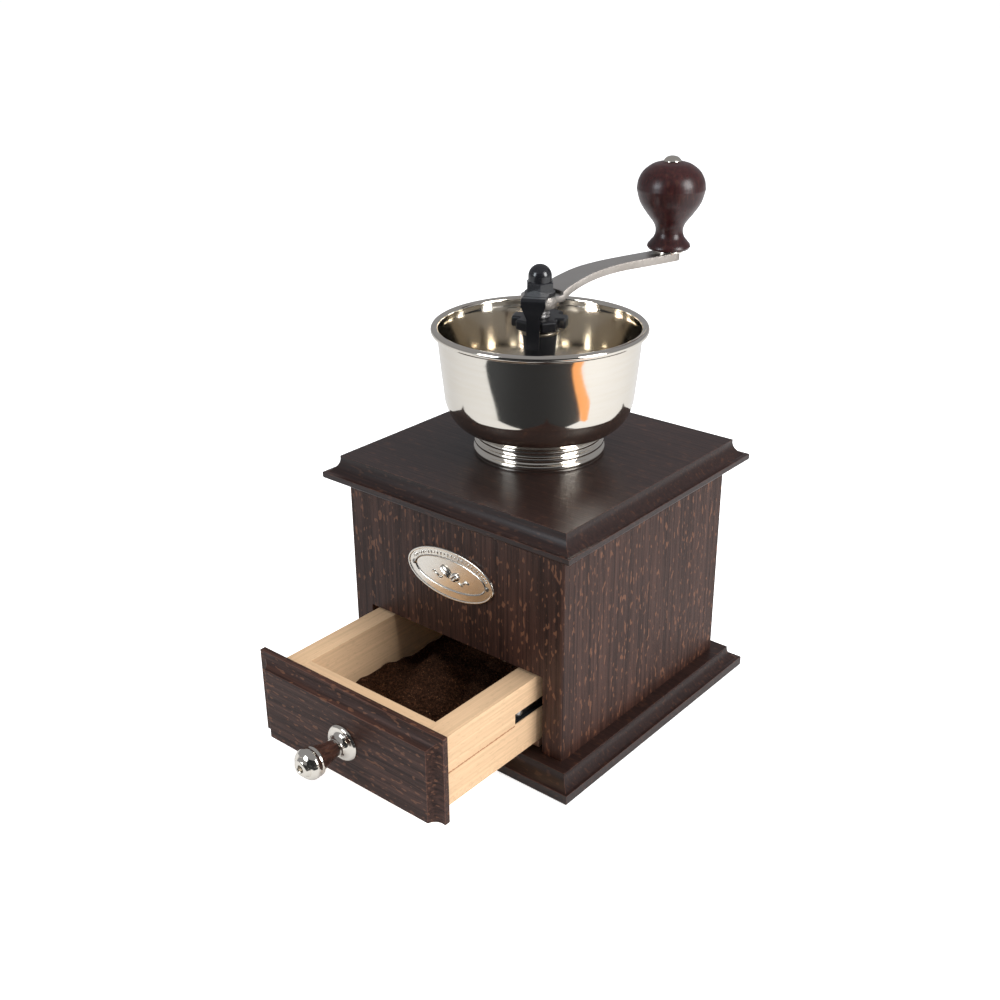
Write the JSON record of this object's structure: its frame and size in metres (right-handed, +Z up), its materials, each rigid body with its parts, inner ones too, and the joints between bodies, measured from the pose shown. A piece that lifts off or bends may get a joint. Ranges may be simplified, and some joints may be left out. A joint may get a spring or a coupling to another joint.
{
  "type": "burr coffee grinder",
  "caption": "Hand-cranked box coffee mill: wooden case with moulded base and top, open metal hopper, crank with turned knob, conical burrs and a sliding drawer.",
  "frame": {"origin": "centre of the base board's underside, on the crank axis", "axes": "+Z up along the crank axis, -Y towards the side with the drawer and the badge, +X to the right seen from the drawer"},
  "size_m": [0.13, 0.2146, 0.2199],
  "materials": {
    "moulding_wood": "satin dark stain",
    "wall_wood": "satin dark stain",
    "front_wood": "satin dark stain",
    "turned_wood": "gloss dark lacquer",
    "runner_wood": "raw",
    "pale_wood": "raw",
    "plywood": "raw",
    "nickel_bowl": "polished nickel",
    "nickel_trim": "polished nickel",
    "nickel_arm": "satin top, rough cast sides",
    "black_metal": "semi-gloss black",
    "cast_housing": "as cast",
    "burr_steel": "hardened",
    "bright_steel": "bright",
    "screw_steel": "zinc",
    "spring_steel": "blued",
    "coffee": "ground, matt"
  },
  "bodies": {
    "mill": {"base_board": "moulding_wood", "base_screws": "screw_steel", "front_wall": "wall_wood", "right_wall": "wall_wood", "back_wall": "wall_wood", "left_wall": "wall_wood", "top_dowels": "pale_wood", "top_board": "moulding_wood", "left_runner": "runner_wood", "right_runner": "runner_wood", "badge_plate": "nickel_trim", "badge_nails": "nickel_trim", "hopper_bowl": "nickel_bowl", "bearing_spider": "black_metal", "bearing_bush": "black_metal", "clamp_screws": "screw_steel", "burr_housing": "cast_housing", "outer_burr": "burr_steel", "grub_screws": "screw_steel", "lower_bridge": "cast_housing", "bridge_screws": "screw_steel", "return_spring": "spring_steel"},
    "carriage": {"thrust_washer": "bright_steel"},
    "crank": {"spindle": "bright_steel", "inner_burr": "burr_steel", "burr_nut": "burr_steel", "crank_arm": "nickel_arm", "clip_disc": "black_metal", "dome_nut": "black_metal", "knob_pin": "nickel_trim", "knob_washer": "bright_steel"},
    "seat": {"seat_washer": "bright_steel"},
    "star": {"star_wheel": "black_metal"},
    "tongue": {"clip_tongue": "black_metal"},
    "knob": {"crank_knob": "turned_wood"},
    "drawer": {"drawer_front": "front_wood", "drawer_inner_front": "pale_wood", "drawer_left_side": "pale_wood", "drawer_right_side": "pale_wood", "drawer_back": "pale_wood", "drawer_bottom": "plywood", "pull_rosette": "nickel_trim", "pull_stem": "turned_wood", "pull_cap": "nickel_trim", "pull_screw": "screw_steel", "drawer_front_screws": "screw_steel", "left_leaf_spring": "spring_steel", "right_leaf_spring": "spring_steel", "leaf_screws": "screw_steel", "ground_coffee": "coffee"}
  },
  "joints": [
    {"name": "drawer_slide", "type": "slide", "parent": "mill", "child": "drawer", "axis": [0, -1, 0], "range_m": [-0.056, 0.03]},
    {"name": "grind_set", "type": "slide", "parent": "mill", "child": "carriage", "axis": [0, 0, 1], "range_m": [-0.0012, 0.0004], "deforming": ["return_spring"]},
    {"name": "crank_turn", "type": "hinge", "parent": "carriage", "child": "crank", "pos_m": [0, 0, 0.16], "axis": [0, 0, 1], "continuous": true},
    {"name": "seat_shift", "type": "slide", "parent": "crank", "child": "seat", "axis": [0, 0, 1], "range_m": [-0.0004, 0.0012]},
    {"name": "star_turn", "type": "hinge", "parent": "seat", "child": "star", "pos_m": [0, 0, 0.1635], "axis": [0, 0, 1], "range_deg": [-115.2, 345.6]},
    {"name": "tongue_flex", "type": "hinge", "parent": "crank", "child": "tongue", "pos_m": [0.00403, -0.00827, 0.1745], "axis": [-0.8988, -0.4384, 0], "range_deg": [0, 12], "stiffness_Nm_per_rad": 0.05},
    {"name": "knob_spin", "type": "hinge", "parent": "crank", "child": "knob", "pos_m": [0.01792, 0.06248, 0.2], "axis": [0, 0, 1], "continuous": true}
  ],
  "couplings": [
    {"joint": "star_turn", "follows": "grind_set", "rad_per_m": -5026.5},
    {"joint": "seat_shift", "follows": "grind_set", "ratio": -1}
  ]
}
